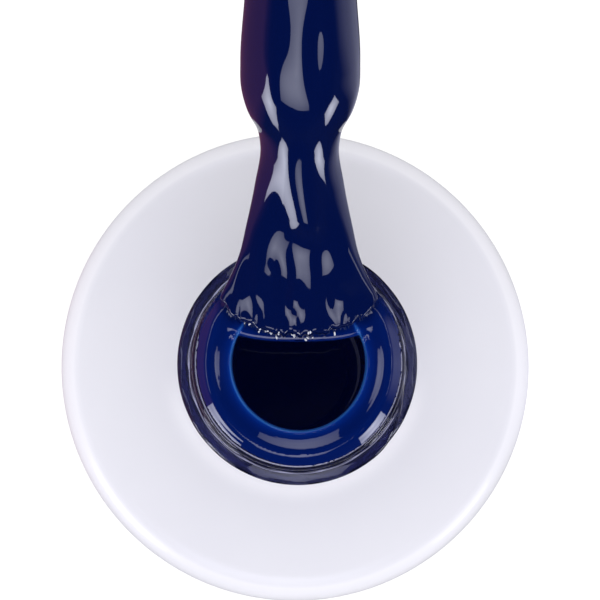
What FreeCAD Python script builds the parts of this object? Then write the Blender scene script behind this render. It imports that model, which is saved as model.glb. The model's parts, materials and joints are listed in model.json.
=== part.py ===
"""Nail polish bottle with its brush drawn out and leaning on the far lip of the mouth.

Millimetres, +Z up. The origin is the middle of the bottle's base. The brush leans back along +Y: its
own pieces are drawn upright about their own Z axis, which runs from the stem's end towards the top of
the cap, and a Placement leans them over.
"""
import FreeCAD, Part
import Sketcher
import math
import os

from FreeCAD import Placement, Rotation, Vector

SIZES = {
    # glass bottle, 13-415 screw finish
    "body_radius": 13.05,
    "shoulder_height": 36.1,
    "shoulder_rise": 0.6,
    "heel_radius": 1.6,
    "shoulder_radius": 1.7,
    "foot_radius": 9.6,
    "push_up": 1.1,
    "wall": 2.4,
    "floor_height": 3.2,
    "floor_radius": 1.8,
    "roof_height": 33.6,
    "roof_radius": 1.5,
    "neck_radius": 5.7,
    "neck_foot": 1.0,
    "bore_radius": 3.85,
    "rim_height": 47.0,
    "rim_radius": 0.35,
    "thread_pitch": 2.12,
    "thread_turns": 2.0,
    "thread_crest": 6.5,
    "thread_below_rim": 6.2,
    "thread_root_width": 1.2,
    "thread_crest_width": 0.5,
    # lacquer and label
    "coat_thickness": 0.15,
    "coat_bottom": 2.2,
    "label_radius": 8.0,
    "label_thickness": 0.12,
    # gel polish and mixing balls
    "polish_level": 28.5,
    "ball_radius": 2.0,
    "ball_gap": 0.05,
    "channel_radius": 2.2,
    "film_thickness": 0.15,
    "film_depth": 12.4,
    "rim_polish_rise": 0.6,
    "rim_polish_drop": 0.75,
    "rim_polish_edge": 5.88,
    # brush
    "stem_radius": 1.65,
    "boss_radius": 2.0,
    "boss_length": 3.2,
    "socket_radius": 1.5,
    "socket_depth": 2.6,
    "stem_shank_radius": 1.95,
    "stem_length": 33.0,
    "bristle_length": 12.0,
    "bristle_root_radius": 1.4,
    "bristle_root_depth": 1.9,
    "bristle_tip_width": 6.6,
    "bristle_tip_thickness": 1.0,
    "staple_radius": 0.25,
    "staple_length": 3.7,
    "staple_height": 1.0,
    "staple_clearance": 0.04,
    # polish on the brush
    "stem_polish_length": 15.0,
    "stem_polish_end_radius": 2.7,
    "stem_polish_bulge_radius": 2.92,
    "stem_polish_top_radius": 2.45,
    # cap
    "seal_height": 28.9,
    "liner_thickness": 0.8,
    "liner_radius": 6.5,
    "plate_thickness": 1.5,
    "skirt_bottom": 19.7,
    "skirt_bore": 6.75,
    "skirt_radius": 7.6,
    "cap_thread_crest": 6.05,
    "cap_socket_radius": 3.3,
    "cap_socket_height": 34.6,
    "cap_bottom": 19.3,
    "cap_top": 56.0,
    "cap_bottom_radius": 8.9,
    "cap_top_radius": 8.2,
    "cap_wall": 1.0,
    "cap_edge_radius": 1.3,
    "cap_rib_width": 0.8,
    "cap_rib_count": 8,
    # how the brush lies
    "stem_end_back": 12.66,
    "stem_end_height": 51.9,
    "stem_lean": 26.0,
    "bristle_bend": 16.0,
}

# Sections of the bristle bundle and of the polish on it: distance from the stem's end along the
# bristles, half width and half thickness.
POLISH_SECTIONS = [
    (0.05, 2.70, 2.60),
    (1.0, 2.25, 2.05),
    (2.0, 2.05, 1.72),
    (4.5, 2.40, 1.42),
    (7.5, 3.15, 1.12),
    (10.0, 3.90, 0.92),
    (12.15, 4.30, 0.70),
]
THREAD_BITE = 0.3
TOLERANCE = 1e-4


def make_sheet(doc):
    sheet = doc.addObject("Spreadsheet::Sheet", "Sizes")
    for row, (alias, value) in enumerate(SIZES.items(), start=1):
        sheet.set(f"A{row}", alias)
        sheet.set(f"B{row}", str(value))
        sheet.setAlias(f"B{row}", alias)
    doc.recompute()
    return sheet


def bound(text):
    """The expression with each size's name written as the sheet's cell."""
    words = []
    for word in text.split():
        words.append(f"Sizes.{word}" if word in SIZES else word)
    return " ".join(words)


def value_of(thing, text):
    return float(thing.evalExpression(bound(text)))


def origin_plane(body, role):
    return next(f for f in body.Origin.OriginFeatures if f.Role == role)


def add_sketch(body, name, role):
    sketch = body.newObject("Sketcher::SketchObject", name)
    sketch.AttachmentSupport = (origin_plane(body, role), [""])
    sketch.MapMode = "FlatFace"
    return sketch


def pin_point(sketch, geometry, point, across, up):
    """Holds a sketch point at two expressions, measured from the sketch's origin."""
    for kind, axis, text in (("DistanceX", -2, across), ("DistanceY", -1, up)):
        value = value_of(sketch, text)
        if abs(value) < TOLERANCE:
            sketch.addConstraint(Sketcher.Constraint("PointOnObject", geometry, point, axis))
            continue
        index = sketch.addConstraint(Sketcher.Constraint(kind, -1, 1, geometry, point, value))
        sketch.setExpression(f"Constraints[{index}]", bound(text))


def draw_outline(sketch, corners):
    """A closed outline of straight lines through (across, up) expressions."""
    spots = [Vector(value_of(sketch, a), value_of(sketch, u), 0) for a, u in corners]
    count = len(spots)
    for i in range(count):
        sketch.addGeometry(Part.LineSegment(spots[i], spots[(i + 1) % count]), False)
    for i in range(count):
        sketch.addConstraint(Sketcher.Constraint("Coincident", i, 2, (i + 1) % count, 1))
    for i, (across, up) in enumerate(corners):
        pin_point(sketch, i, 1, across, up)


def draw_circle(sketch, across, up, radius):
    centre = Vector(value_of(sketch, across), value_of(sketch, up), 0)
    circle = Part.Circle(centre, Vector(0, 0, 1), value_of(sketch, radius))
    index = sketch.addGeometry(circle, False)
    pin_point(sketch, index, 3, across, up)
    held = sketch.addConstraint(Sketcher.Constraint("Radius", index, value_of(sketch, radius)))
    sketch.setExpression(f"Constraints[{held}]", bound(radius))


def turned_body(doc, name, corners):
    """A body turned about its Z axis from an outline of (radius, height) expressions."""
    body = doc.addObject("PartDesign::Body", name)
    body.Label = name
    sketch = add_sketch(body, f"{name}_outline", "XZ_Plane")
    draw_outline(sketch, corners)
    turn = body.newObject("PartDesign::Revolution", f"{name}_turned")
    turn.Profile = sketch
    turn.ReferenceAxis = (sketch, ["V_Axis"])
    turn.Angle = 360
    doc.recompute()
    return body


def round_edges(doc, body, radius, *places):
    """Fillets the body's round edges at (radius, height) expressions."""
    tip = body.Tip
    wanted = [(value_of(body, r), value_of(body, h)) for r, h in places]
    names = []
    for index, edge in enumerate(tip.Shape.Edges, start=1):
        curve = edge.Curve
        if not isinstance(curve, Part.Circle):
            continue
        found = (curve.Radius, curve.Center.z)
        if any(abs(found[0] - r) < TOLERANCE and abs(found[1] - h) < TOLERANCE for r, h in wanted):
            names.append(f"Edge{index}")
    if len(names) != len(places):
        raise RuntimeError(f"{body.Name}: {len(names)} edges found for {places}")
    fillet = body.newObject("PartDesign::Fillet", f"{body.Name}_rounded")
    fillet.Base = (tip, names)
    fillet.Radius = value_of(body, radius)
    fillet.setExpression("Radius", bound(radius))
    doc.recompute()


def add_thread(doc, body, corners, start):
    """A helical ridge on the body, from a section of (radius, height above start) expressions."""
    sketch = add_sketch(body, f"{body.Name}_thread_section", "XZ_Plane")
    draw_outline(sketch, [(across, f"( {start} ) + {up}") for across, up in corners])
    ridge = body.newObject("PartDesign::AdditiveHelix", f"{body.Name}_thread")
    ridge.Profile = sketch
    ridge.ReferenceAxis = (sketch, ["V_Axis"])
    ridge.Mode = "pitch-turns-angle"
    ridge.setExpression("Pitch", bound("thread_pitch"))
    ridge.setExpression("Turns", bound("thread_turns"))
    doc.recompute()


def lean_placement(sheet):
    """Where the brush's own frame lies: its origin is the middle of the stem's end face."""
    end = Vector(0, sheet.stem_end_back, sheet.stem_end_height)
    return Placement(end, Rotation(Vector(1, 0, 0), sheet.stem_lean - 90))


def bristle_placement(sheet, distance):
    """The place and lean of the bristles' cross-section at a distance from the stem's end."""
    lean = math.radians(sheet.stem_lean)
    if distance <= 0:
        along = Vector(0, math.cos(lean), math.sin(lean))
        end = lean_placement(sheet)
        return Placement(end.Base - along * distance, end.Rotation)
    bend = math.radians(sheet.bristle_bend)
    here = lean - bend * distance / sheet.bristle_length
    radius = sheet.bristle_length / bend
    back = sheet.stem_end_back - radius * (math.sin(lean) - math.sin(here))
    height = sheet.stem_end_height - radius * (math.cos(here) - math.cos(lean))
    return Placement(Vector(0, back, height), Rotation(Vector(1, 0, 0), math.degrees(here) - 90))


def make_glass_bottle(doc):
    inner = "body_radius - wall"
    shoulder = "shoulder_height + shoulder_rise"
    body = turned_body(doc, "glass_bottle", [
        ("0", "push_up"),
        ("foot_radius", "0"),
        ("body_radius", "0"),
        ("body_radius", "shoulder_height"),
        ("neck_radius", shoulder),
        ("neck_radius", "rim_height"),
        ("bore_radius", "rim_height"),
        ("bore_radius", "roof_height + shoulder_rise"),
        (inner, "roof_height"),
        (inner, "floor_height"),
        ("0", "floor_height"),
    ])
    round_edges(doc, body, "heel_radius", ("body_radius", "0"))
    round_edges(doc, body, "shoulder_radius", ("body_radius", "shoulder_height"))
    round_edges(doc, body, "neck_foot", ("neck_radius", shoulder))
    round_edges(doc, body, "rim_radius", ("neck_radius", "rim_height"), ("bore_radius", "rim_height"))
    round_edges(doc, body, "roof_radius",
                ("bore_radius", "roof_height + shoulder_rise"), (inner, "roof_height"))
    round_edges(doc, body, "floor_radius", (inner, "floor_height"))
    add_thread(doc, body, [
        (f"neck_radius - {THREAD_BITE}", "-0.5 * thread_root_width"),
        ("thread_crest", "-0.5 * thread_crest_width"),
        ("thread_crest", "0.5 * thread_crest_width"),
        (f"neck_radius - {THREAD_BITE}", "0.5 * thread_root_width"),
    ], "rim_height - thread_below_rim")
    return body


def make_white_coating(doc):
    """The lacquer on the outside of the body and shoulder, up to the foot of the neck."""
    shoulder = "shoulder_height + shoulder_rise"
    outer = "body_radius + coat_thickness"
    neck = "neck_radius + coat_thickness"
    top = f"{shoulder} + 2 * neck_foot"
    body = turned_body(doc, "white_coating", [
        ("body_radius", "coat_bottom"),
        (outer, "coat_bottom"),
        (outer, "shoulder_height + coat_thickness"),
        (neck, f"{shoulder} + coat_thickness"),
        (neck, top),
        ("neck_radius", top),
        ("neck_radius", shoulder),
        ("body_radius", "shoulder_height"),
    ])
    round_edges(doc, body, "shoulder_radius + coat_thickness", (outer, "shoulder_height + coat_thickness"))
    round_edges(doc, body, "shoulder_radius", ("body_radius", "shoulder_height"))
    round_edges(doc, body, "neck_foot", ("neck_radius", shoulder))
    round_edges(doc, body, "neck_foot - coat_thickness", (neck, f"{shoulder} + coat_thickness"))
    return body


def make_base_label(doc):
    """A blank sticker in the hollow of the base, lying on its slope."""
    slope = "( push_up / foot_radius )"
    edge = f"push_up - label_radius * {slope}"
    return turned_body(doc, "base_label", [
        ("0", "push_up - label_thickness"),
        ("label_radius", f"{edge} - label_thickness"),
        ("label_radius", edge),
        ("0", "push_up"),
    ])


def make_polish_fill(doc):
    """The polish in the bottle, with the channel round the floor where the mixing balls roll."""
    inner = "body_radius - wall"
    body = turned_body(doc, "polish_fill", [
        ("0", "floor_height"),
        (inner, "floor_height"),
        (inner, "polish_level"),
        ("0", "polish_level"),
    ])
    round_edges(doc, body, "floor_radius", (inner, "floor_height"))
    ring = f"{inner} - ball_radius - ball_gap"
    sketch = add_sketch(body, "ball_channel_section", "XZ_Plane")
    draw_circle(sketch, ring, "floor_height + ball_radius + ball_gap", "channel_radius")
    full = body.Tip.Shape.Volume
    groove = body.newObject("PartDesign::Groove", "ball_channel")
    groove.Profile = sketch
    groove.ReferenceAxis = (sketch, ["V_Axis"])
    groove.Angle = 360
    doc.recompute()
    if groove.Shape.Volume >= full - 1:
        raise RuntimeError("the ball channel cut nothing")
    return body


def make_mixing_balls(doc, sheet):
    ring = "body_radius - wall - ball_radius - ball_gap"
    reach = value_of(sheet, ring)
    height = value_of(sheet, "floor_height + ball_radius + ball_gap")
    balls = []
    for number, side in ((1, -1), (2, 1)):
        ball = doc.addObject("Part::Sphere", f"mixing_ball_{number}")
        ball.Label = f"mixing_ball_{number}"
        ball.setExpression("Radius", bound("ball_radius"))
        ball.Placement = Placement(Vector(side * reach, 0, height), Rotation())
        balls.append(ball)
    return balls


def make_rim_polish(doc):
    """Wet polish on the lip of the mouth and down the bore."""
    film = "bore_radius - film_thickness"
    top = "rim_height + rim_polish_rise"
    body = turned_body(doc, "rim_polish", [
        (film, "rim_height - film_depth"),
        (film, top),
        ("rim_polish_edge", top),
        ("rim_polish_edge", "rim_height - rim_polish_drop"),
        ("neck_radius", "rim_height - rim_polish_drop"),
        ("neck_radius", "rim_height"),
        ("bore_radius", "rim_height"),
        ("bore_radius", "rim_height - film_depth"),
    ])
    round_edges(doc, body, "rim_radius", ("neck_radius", "rim_height"), ("bore_radius", "rim_height"))
    round_edges(doc, body, "rim_polish_rise + 0.25", (film, top), ("rim_polish_edge", top))
    return body


def make_brush_stem(doc, sheet):
    body = turned_body(doc, "brush_stem", [
        ("socket_radius", "0"),
        ("boss_radius - 0.2", "0"),
        ("boss_radius", "0.3"),
        ("boss_radius", "boss_length"),
        ("stem_radius", "boss_length + 1.2"),
        ("stem_radius", "seal_height - 2"),
        ("stem_shank_radius", "seal_height - 1"),
        ("stem_shank_radius", "stem_length"),
        ("0", "stem_length"),
        ("0", "socket_depth"),
        ("socket_radius", "socket_depth"),
    ])
    full = body.Tip.Shape.Volume
    sketch = add_sketch(body, "staple_hole_section", "YZ_Plane")
    draw_circle(sketch, "0", "staple_height", "staple_radius + staple_clearance")
    hole = body.newObject("PartDesign::Pocket", "staple_hole")
    hole.Profile = sketch
    hole.Midplane = True
    hole.Length = 2 * sheet.boss_radius + 1
    hole.setExpression("Length", bound("2 * boss_radius + 1"))
    doc.recompute()
    if hole.Shape.Volume >= full:
        raise RuntimeError("the staple hole cut nothing")
    body.Placement = lean_placement(sheet)
    return body


def make_stem_polish(doc, sheet):
    body = turned_body(doc, "stem_polish", [
        ("boss_radius - 0.2", "0"),
        ("stem_polish_end_radius", "0"),
        ("stem_polish_bulge_radius", "0.12 * stem_polish_length"),
        ("stem_polish_top_radius", "0.7 * stem_polish_length"),
        ("stem_radius + 0.05", "stem_polish_length"),
        ("stem_radius", "stem_polish_length"),
        ("stem_radius", "boss_length + 1.2"),
        ("boss_radius", "boss_length"),
        ("boss_radius", "0.3"),
    ])
    body.Placement = lean_placement(sheet)
    return body


def make_loft(doc, sheet, name, sections):
    """A solid through elliptical cross-sections of the bristles."""
    rings = []
    for index, (distance, half_width, half_thickness) in enumerate(sections):
        ring = doc.addObject("Part::Ellipse", f"{name}_section_{index}")
        ring.setExpression("MajorRadius", bound(half_width))
        ring.setExpression("MinorRadius", bound(half_thickness))
        ring.Placement = bristle_placement(sheet, value_of(sheet, distance))
        rings.append(ring)
    doc.recompute()
    loft = doc.addObject("Part::Loft", name)
    loft.Sections = rings
    loft.Solid = True
    loft.Ruled = False
    doc.recompute()
    return loft


def make_staple(doc, name, sheet):
    staple = doc.addObject("Part::Cylinder", name)
    staple.setExpression("Radius", bound("staple_radius"))
    staple.setExpression("Height", bound("staple_length"))
    lean = lean_placement(sheet)
    middle = lean.multVec(Vector(-sheet.staple_length / 2, 0, sheet.staple_height))
    staple.Placement = Placement(middle, Rotation(Vector(0, 1, 0), 90))
    return staple


def make_bristles(doc, sheet):
    """The bristle bundle, held by its staple, and the polish that soaks and covers it."""
    spread = "( bristle_tip_width / 2 - bristle_root_radius )"
    thinning = "( bristle_root_radius - bristle_tip_thickness / 2 )"
    root = "bristle_root_radius"
    sections = [
        ("-1 * bristle_root_depth", root, f"{root} - 0.01"),
        ("0", root, f"{root} - 0.01"),
    ]
    for share, widening, flattening in ((0.25, 0.12, 0.30), (0.5, 0.40, 0.58), (0.75, 0.72, 0.82), (1, 1, 1)):
        sections.append((
            f"{share} * bristle_length",
            f"{root} + {widening} * {spread}",
            f"{root} - {flattening} * {thinning}",
        ))
    staple = make_staple(doc, "bristle_staple", sheet)
    staple.Label = "bristle_staple"
    bundle = doc.addObject("Part::Cut", "bristle_bundle")
    bundle.Label = "bristle_bundle"
    bundle.Base = make_loft(doc, sheet, "bristle_envelope", sections)
    bundle.Tool = make_staple(doc, "staple_gap", sheet)
    outside = [(str(d), str(w), str(t)) for d, w, t in POLISH_SECTIONS]
    polish = doc.addObject("Part::Cut", "bristle_polish")
    polish.Label = "bristle_polish"
    polish.Base = make_loft(doc, sheet, "bristle_polish_outside", outside)
    polish.Tool = make_loft(doc, sheet, "bristle_envelope_gap", sections)
    return [staple, bundle, polish]


def make_inner_cap(doc, sheet):
    plate = "seal_height + liner_thickness"
    body = turned_body(doc, "inner_cap", [
        ("skirt_bore", "skirt_bottom"),
        ("skirt_radius", "skirt_bottom"),
        ("skirt_radius", f"{plate} + plate_thickness"),
        ("cap_socket_radius", f"{plate} + plate_thickness"),
        ("cap_socket_radius", "cap_socket_height"),
        ("0", "cap_socket_height"),
        ("0", "stem_length"),
        ("stem_shank_radius", "stem_length"),
        ("stem_shank_radius", plate),
        ("skirt_bore", plate),
    ])
    add_thread(doc, body, [
        (f"skirt_bore + {THREAD_BITE}", "-0.5 * thread_root_width + 0.1"),
        ("cap_thread_crest", "-0.5 * thread_crest_width"),
        ("cap_thread_crest", "0.5 * thread_crest_width"),
        (f"skirt_bore + {THREAD_BITE}", "0.5 * thread_root_width - 0.1"),
    ], "seal_height - thread_below_rim + 0.5 * thread_pitch")
    body.Placement = lean_placement(sheet)
    return body


def make_cap_liner(doc, sheet):
    body = turned_body(doc, "cap_liner", [
        ("stem_shank_radius", "seal_height"),
        ("liner_radius", "seal_height"),
        ("liner_radius", "seal_height + liner_thickness"),
        ("stem_shank_radius", "seal_height + liner_thickness"),
    ])
    body.Placement = lean_placement(sheet)
    return body


def make_outer_cap(doc, sheet):
    """The long sleeve that the fingers hold, with ribs inside that grip the inner cap."""
    body = turned_body(doc, "outer_cap", [
        ("cap_bottom_radius - cap_wall", "cap_bottom"),
        ("cap_bottom_radius", "cap_bottom"),
        ("cap_top_radius", "cap_top"),
        ("0", "cap_top"),
        ("0", "cap_top - 1.5 * cap_wall"),
        ("cap_top_radius - cap_wall", "cap_top - 1.5 * cap_wall"),
        ("cap_bottom_radius - cap_wall", "cap_socket_height"),
    ])
    round_edges(doc, body, "cap_edge_radius", ("cap_top_radius", "cap_top"))
    round_edges(doc, body, "0.3 * cap_wall", ("cap_bottom_radius", "cap_bottom"))
    sketch = add_sketch(body, "cap_rib_section", "XZ_Plane")
    draw_outline(sketch, [
        ("skirt_radius + 0.02", "skirt_bottom"),
        ("cap_bottom_radius - cap_wall + 0.1", "skirt_bottom"),
        ("cap_bottom_radius - cap_wall + 0.1", "cap_socket_height"),
        ("skirt_radius + 0.02", "cap_socket_height"),
    ])
    rib = body.newObject("PartDesign::Pad", "cap_rib")
    rib.Profile = sketch
    rib.Midplane = True
    rib.Length = sheet.cap_rib_width
    rib.setExpression("Length", bound("cap_rib_width"))
    doc.recompute()
    ribs = body.newObject("PartDesign::PolarPattern", "cap_ribs")
    ribs.Originals = [rib]
    ribs.Axis = (sketch, ["V_Axis"])
    ribs.Angle = 360
    ribs.Occurrences = int(sheet.cap_rib_count)
    ribs.setExpression("Occurrences", bound("cap_rib_count"))
    body.Tip = ribs
    doc.recompute()
    body.Placement = lean_placement(sheet)
    return body


def check_and_write(doc, parts):
    doc.recompute()
    for thing in doc.Objects:
        if "Invalid" in thing.State or "Error" in thing.State:
            raise RuntimeError(f"{thing.Name} failed: {thing.State}")
    for part in parts:
        if part.Shape.isNull() or not part.Shape.isValid() or not part.Shape.Solids:
            raise RuntimeError(f"{part.Label} has no valid solid")
    os.makedirs("parts", exist_ok=True)
    for part in parts:
        print(f"{part.Label}: {len(part.Shape.Solids)} solid, {part.Shape.Volume:.1f} mm3")
        part.Shape.exportStep(f"parts/{part.Label}.step")


def main():
    doc = FreeCAD.newDocument("nail_polish_bottle")
    sheet = make_sheet(doc)
    parts = [
        make_glass_bottle(doc),
        make_white_coating(doc),
        make_base_label(doc),
        make_polish_fill(doc),
        make_rim_polish(doc),
        *make_mixing_balls(doc, sheet),
        *make_bristles(doc, sheet),
        make_brush_stem(doc, sheet),
        make_stem_polish(doc, sheet),
        make_inner_cap(doc, sheet),
        make_cap_liner(doc, sheet),
        make_outer_cap(doc, sheet),
    ]
    check_and_write(doc, parts)


main()
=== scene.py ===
"""Looks of the nail polish bottle: clear threaded glass under white lacquer, with its brush laid on the lip.

The wet polish is one liquid skin, worked out as a smooth union of the ring on the rim, the polish that
drapes over it under the bristles, and the coat on the brush. It is cut where the brush leaves the rim, so
that the two part cleanly when the brush is lifted. Shapes are worked out in millimetres, which MM turns
into metres. Lamps, the floor, the surround and the materials' scales are in metres.
"""

import json
import math
import random

import bpy
import bmesh
import numpy as np
from mathutils import Matrix, Vector


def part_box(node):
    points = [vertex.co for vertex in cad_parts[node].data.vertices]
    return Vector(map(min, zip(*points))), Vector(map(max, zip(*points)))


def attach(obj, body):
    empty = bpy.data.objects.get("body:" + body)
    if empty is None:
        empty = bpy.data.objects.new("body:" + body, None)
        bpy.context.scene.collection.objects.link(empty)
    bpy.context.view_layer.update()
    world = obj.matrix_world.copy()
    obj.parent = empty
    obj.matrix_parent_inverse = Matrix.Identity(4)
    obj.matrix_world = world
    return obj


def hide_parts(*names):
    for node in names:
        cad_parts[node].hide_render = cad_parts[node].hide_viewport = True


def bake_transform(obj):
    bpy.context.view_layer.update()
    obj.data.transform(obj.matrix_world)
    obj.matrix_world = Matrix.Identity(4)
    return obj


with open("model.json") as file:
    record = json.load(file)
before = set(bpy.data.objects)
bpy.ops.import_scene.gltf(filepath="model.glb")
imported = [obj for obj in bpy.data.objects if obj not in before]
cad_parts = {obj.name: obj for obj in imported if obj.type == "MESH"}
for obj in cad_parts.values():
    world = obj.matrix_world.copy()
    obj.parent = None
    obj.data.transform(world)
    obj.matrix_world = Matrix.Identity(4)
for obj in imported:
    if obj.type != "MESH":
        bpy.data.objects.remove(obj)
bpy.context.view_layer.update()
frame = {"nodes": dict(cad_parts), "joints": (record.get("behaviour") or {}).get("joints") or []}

MM = 0.001


def in_mm(point):
    return np.array(point, float) / MM


def joint(name):
    return next(j for j in frame["joints"] if j["name"] == name)


# ---------------------------------------------------------------- sizes, from the frame

glass_low, glass_high = (in_mm(corner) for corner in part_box("glass_bottle"))
coat_low, coat_high = (in_mm(corner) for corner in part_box("white_coating"))
RIM = glass_high[2]
BODY_RADIUS = glass_high[0]
LACQUER_RADIUS = coat_high[0]
LACQUER_BOTTOM = coat_low[2]

# glass bottle
NECK_HEIGHT = 10.3
SHOULDER_RISE = 0.6
SHOULDER = RIM - NECK_HEIGHT
NECK_RADIUS = 5.7
BORE_RADIUS = 3.85
THREAD_CREST = 6.5
THREAD_PITCH = 2.12
THREAD_TURNS = 2.0
THREAD_BELOW_RIM = 6.2
THREAD_START = RIM - THREAD_BELOW_RIM
THREAD_TAPER = 0.14  # of a turn
THREAD_HALF_WIDTH = 0.62
THREAD_FLANK = 0.40
RIM_EDGE = 0.35
SHOULDER_RADIUS = 1.7
HEEL_RADIUS = 1.6
NECK_FOOT = 1.0
FOOT_RADIUS = 9.6
PUSH_UP = 1.1
WALL = 2.4
FLOOR = 3.2
ROOF = 33.6

# brush
LEAN = math.radians(26)
BEND = math.radians(16)
BRISTLE_LENGTH = 12.0
ALONG = np.array([0, math.cos(LEAN), math.sin(LEAN)])
ABOVE = np.array([0, -math.sin(LEAN), math.cos(LEAN)])
STEM_END = in_mm(joint("handle_tilt")["pos_m"]) - ALONG
BEND_RADIUS = BRISTLE_LENGTH / BEND
BEND_CENTRE = STEM_END + BEND_RADIUS * ABOVE
STEM_COAT_LENGTH = 15.0
FILAMENTS = 340
FILAMENT_SIDES = 5
FILAMENT_STEPS = 12
SOCKET_DEPTH = 1.8
BUNDLE_RADIUS = 1.25
FAN_HALF_WIDTH = 4.05
FAN_HALF_THICKNESS = 0.34
GLINTING_TIPS = 22
BEND_FROM = 8.5
BEND_TO = -0.3

# wet polish
SEAM_GAP = 0.22
SEAM_PAST_TIPS = 0.25
SEAM_RISE = 0.9
TIP_LINE_BOW = 0.076
TIP_COVER = -0.15
SKIN_STEP = 0.09
SETTLE_ROUNDS = 5
SETTLE_REACH = 0.75  # of a step
COAT_ROUNDING = 0.4
GLASS_SINK = 0.04
RING_DEPTH = 0.62
DRAPE_FILLET = 0.35
STEM_FILLET = 1.25
TIP_FILLET = 0.25
CORNER_FILLET = 0.3
DRAPE_CENTRE = np.array([0.0, 2.80, RIM + 0.08])
DRAPE_SIZE = np.array([4.3, 1.65, 0.52])
DRAPE_POWER = 2.6
DRAPE_EDGE_POWER = 5

# studio: the surround and the floor in metres, the camera in millimetres above the rim
SURROUND_RADIUS = 2.2
FLOOR_SIZE = 6
CAMERA_HEIGHT = 200


# ---------------------------------------------------------------- mesh helpers

def add_object(name, mesh):
    obj = bpy.data.objects.new(name, mesh)
    bpy.context.scene.collection.objects.link(obj)
    return obj


def mesh_piece(name, points, faces):
    """A smooth-shaded piece from points in millimetres."""
    mesh = bpy.data.meshes.new(name)
    mesh.from_pydata([tuple(p) for p in np.asarray(points) * MM], [], [tuple(f) for f in faces])
    mesh.validate()
    mesh.polygons.foreach_set("use_smooth", [True] * len(mesh.polygons))
    mesh.update()
    return add_object(name, mesh)


def vertices_mm(obj):
    """The places of an object's vertices, in millimetres."""
    co = np.empty(len(obj.data.vertices) * 3)
    obj.data.vertices.foreach_get("co", co)
    return co.reshape(-1, 3) / MM


def store(obj, name, values):
    """A value at each vertex, which the piece's material reads."""
    attribute = obj.data.attributes.new(name, "FLOAT", "POINT")
    attribute.data.foreach_set("value", np.asarray(values, np.float32))


def arc(centre, radius, start, end, count):
    """A number of points (r, z) on an arc, with its angles in degrees."""
    angles = np.radians(np.linspace(start, end, count))
    return [(centre[0] + radius * math.cos(a), centre[1] + radius * math.sin(a)) for a in angles]


def evenly(profile, step):
    """The profile with its long runs cut into steps."""
    points = [profile[0]]
    for (r0, z0), (r1, z1) in zip(profile, profile[1:]):
        count = max(1, math.ceil(math.hypot(r1 - r0, z1 - z0) / step))
        points += [(r0 + (r1 - r0) * i / count, z0 + (z1 - z0) * i / count) for i in range(1, count + 1)]
    return points


def lathe(name, profile, segments, closed=True, shape=None):
    """A turned piece. The profile's (r, z) points run with the solid on their left, and a point on the
    axis is a pole. shape may change a point's radius by its angle and height."""
    angles = 2 * np.pi * np.arange(segments) / segments
    points, rings = [], []
    for r, z in profile:
        if r < 1e-6:
            rings.append([len(points)])
            points.append((0.0, 0.0, z))
            continue
        radii = np.full(segments, r) if shape is None else shape(r, z, angles)
        rings.append(list(range(len(points), len(points) + segments)))
        points += list(zip(radii * np.cos(angles), radii * np.sin(angles), np.full(segments, z)))
    faces = []
    next_rings = rings[1:] + rings[:1] if closed else rings[1:]
    for a, b in zip(rings, next_rings):
        for i in range(segments):
            j = (i + 1) % segments
            if len(a) == 1:
                faces.append((a[0], b[j], b[i]))
            elif len(b) == 1:
                faces.append((a[i], a[j], b[0]))
            else:
                faces.append((a[i], a[j], b[j], b[i]))
    return mesh_piece(name, points, faces)


def on_bristles(s, x, n):
    """The place at s millimetres along the bristles from the stem's end, x across and n above them."""
    s, x, n = np.broadcast_arrays(s, x, n)
    lean = LEAN - BEND * np.clip(s, 0, None) / BRISTLE_LENGTH
    above = np.stack([np.zeros_like(lean), -np.sin(lean), np.cos(lean)], -1)
    middle = BEND_CENTRE - BEND_RADIUS * above
    middle = middle - np.minimum(s, 0)[..., None] * ALONG
    return middle + n[..., None] * above + x[..., None] * np.array([1.0, 0, 0])


# ---------------------------------------------------------------- the liquid skin

def smooth_min(a, b, k):
    """The lower of two fields, rounded where they cross over a width of about k."""
    h = np.clip(0.5 + 0.5 * (b - a) / k, 0, 1)
    return b + (a - b) * h - k * h * (1 - h)


def brush_coordinates(p):
    """(s, x, n) of points: along the bristles from the stem's end (negative up the stem), across, above."""
    x, y, z = p[..., 0], p[..., 1], p[..., 2]
    along = (y - STEM_END[1]) * ALONG[1] + (z - STEM_END[2]) * ALONG[2]
    above = (y - STEM_END[1]) * ABOVE[1] + (z - STEM_END[2]) * ABOVE[2]
    dy, dz = y - BEND_CENTRE[1], z - BEND_CENTRE[2]
    lean = np.arctan2(dy, -dz)
    s = (LEAN - lean) / BEND * BRISTLE_LENGTH
    n = BEND_RADIUS - np.hypot(dy, dz)
    straight = along > 0
    return np.where(straight, -along, s), x, np.where(straight, above, n)


def eased(at, stations, values):
    """The value at a place, smooth through the stations."""
    xs, ys = np.array(stations), np.array(values)
    slopes = np.gradient(ys, xs)
    i = np.clip(np.searchsorted(xs, at) - 1, 0, len(xs) - 2)
    width = xs[i + 1] - xs[i]
    t = np.clip((at - xs[i]) / width, 0, 1)
    t2, t3 = t * t, t * t * t
    return (
        (2 * t3 - 3 * t2 + 1) * ys[i] + (t3 - 2 * t2 + t) * width * slopes[i]
        + (3 * t2 - 2 * t3) * ys[i + 1] + (t3 - t2) * width * slopes[i + 1]
    )


def step_up(value, low, high):
    """0 below low and 1 above high, smooth between them."""
    t = np.clip((value - low) / (high - low), 0, 1)
    return t * t * (3 - 2 * t)


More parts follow.
